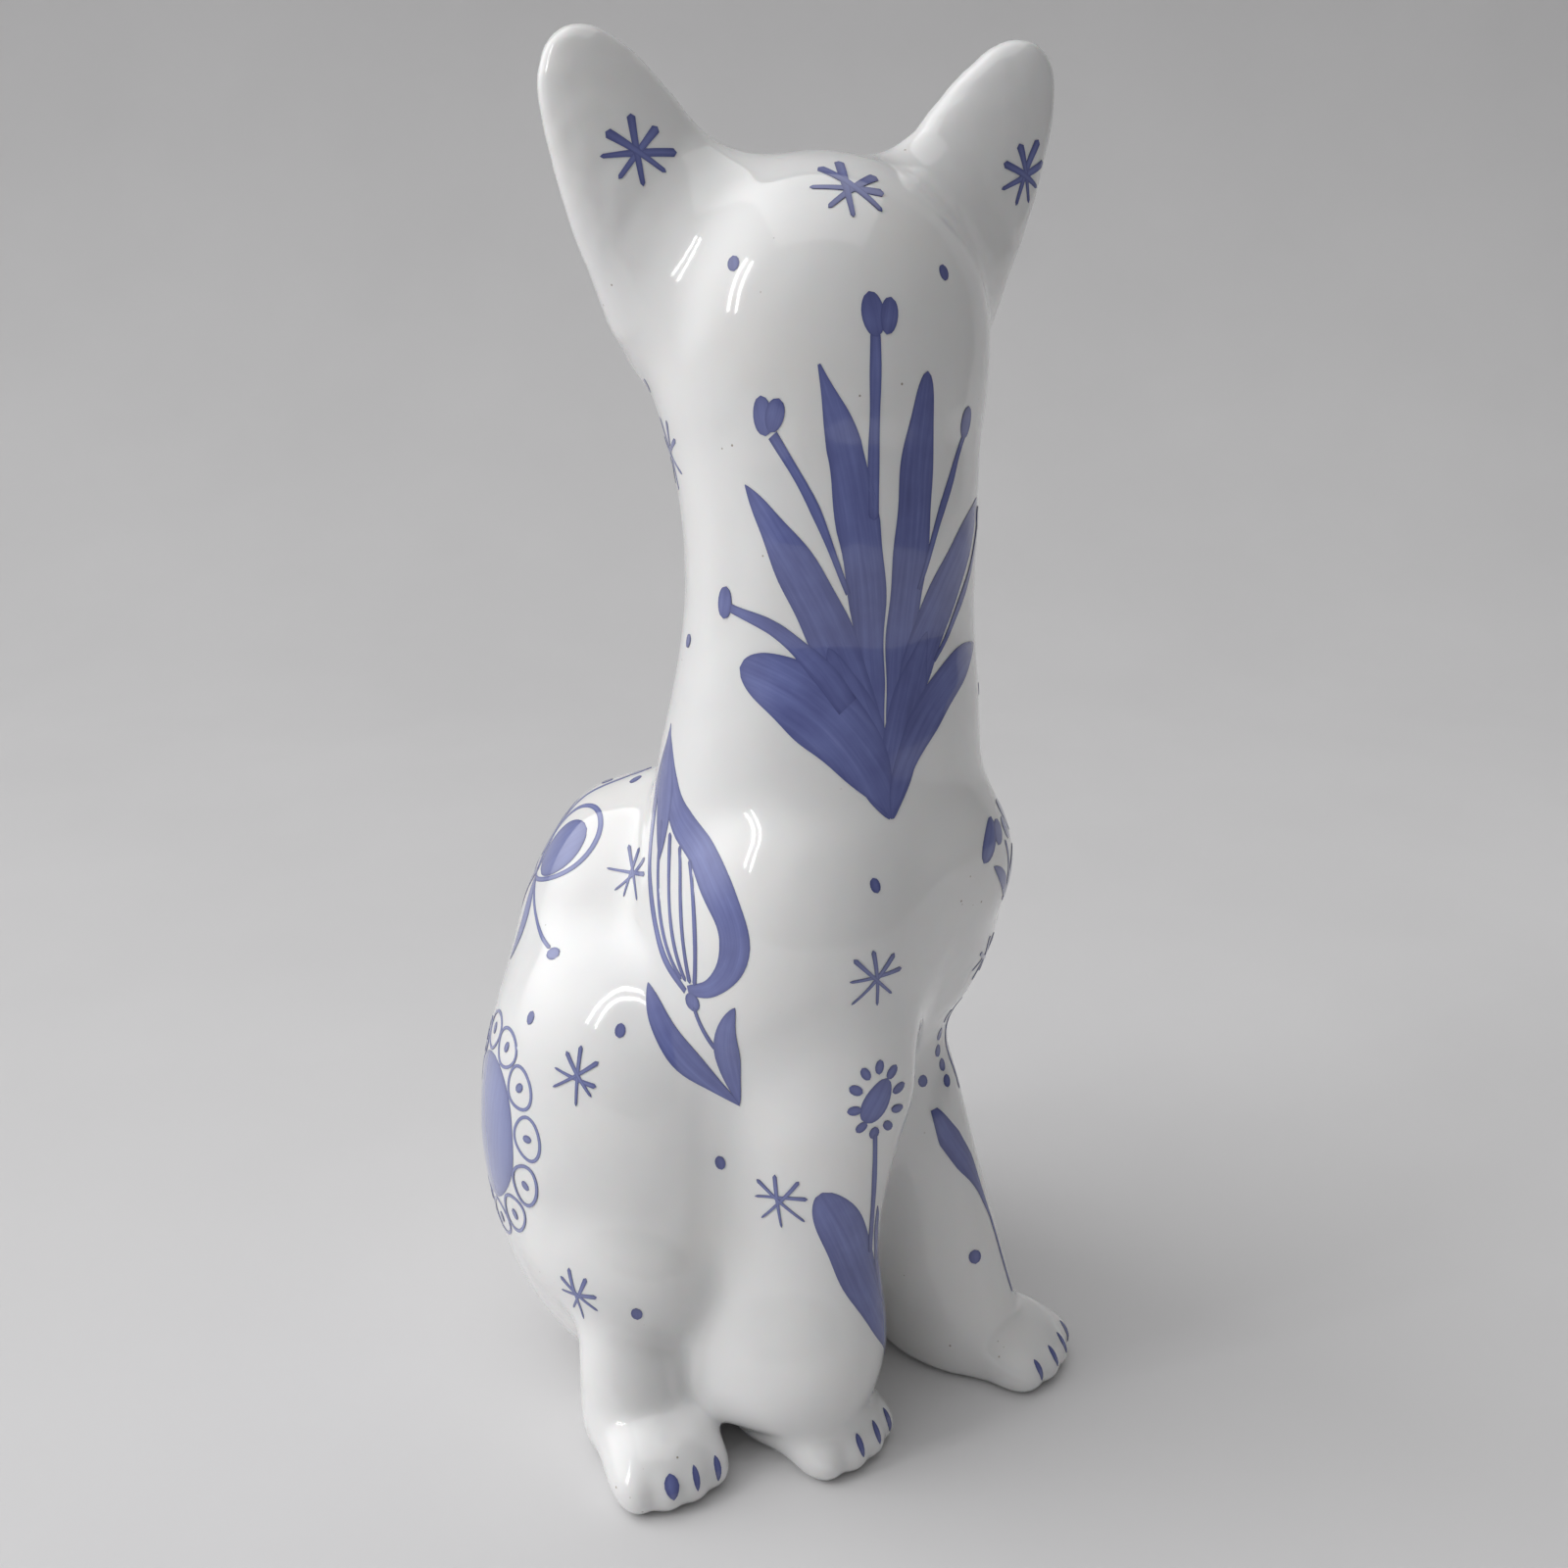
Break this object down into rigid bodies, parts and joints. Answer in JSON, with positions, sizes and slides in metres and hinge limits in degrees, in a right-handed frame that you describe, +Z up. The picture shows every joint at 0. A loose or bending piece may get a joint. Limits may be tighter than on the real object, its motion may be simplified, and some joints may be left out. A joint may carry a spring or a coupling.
{
  "type": "seated cat figurine",
  "caption": "Tall seated cat figurine in glazed white earthenware, head turned back over its shoulder, hand-painted with blue flowers, leaves and stars.",
  "frame": {"origin": "on the table top, on the underside of the base plate, below the belly", "axes": "the body faces -Y, its left side is +X and +Z points up through the neck"},
  "size_m": [0.1688, 0.1582, 0.3338],
  "materials": {
    "glaze": "glossy transparent glaze over white clay with blue brush decoration",
    "bare_clay": "unglazed biscuit earthenware"
  },
  "bodies": {
    "root": {"body_shell": "glaze", "base_plate": "bare_clay", "head_shell": "glaze", "ear_left": "glaze", "ear_right": "glaze", "front_leg_left": "glaze", "front_leg_right": "glaze", "hind_foot_left": "glaze", "hind_foot_right": "glaze", "tail": "glaze"}
  },
  "joints": []
}
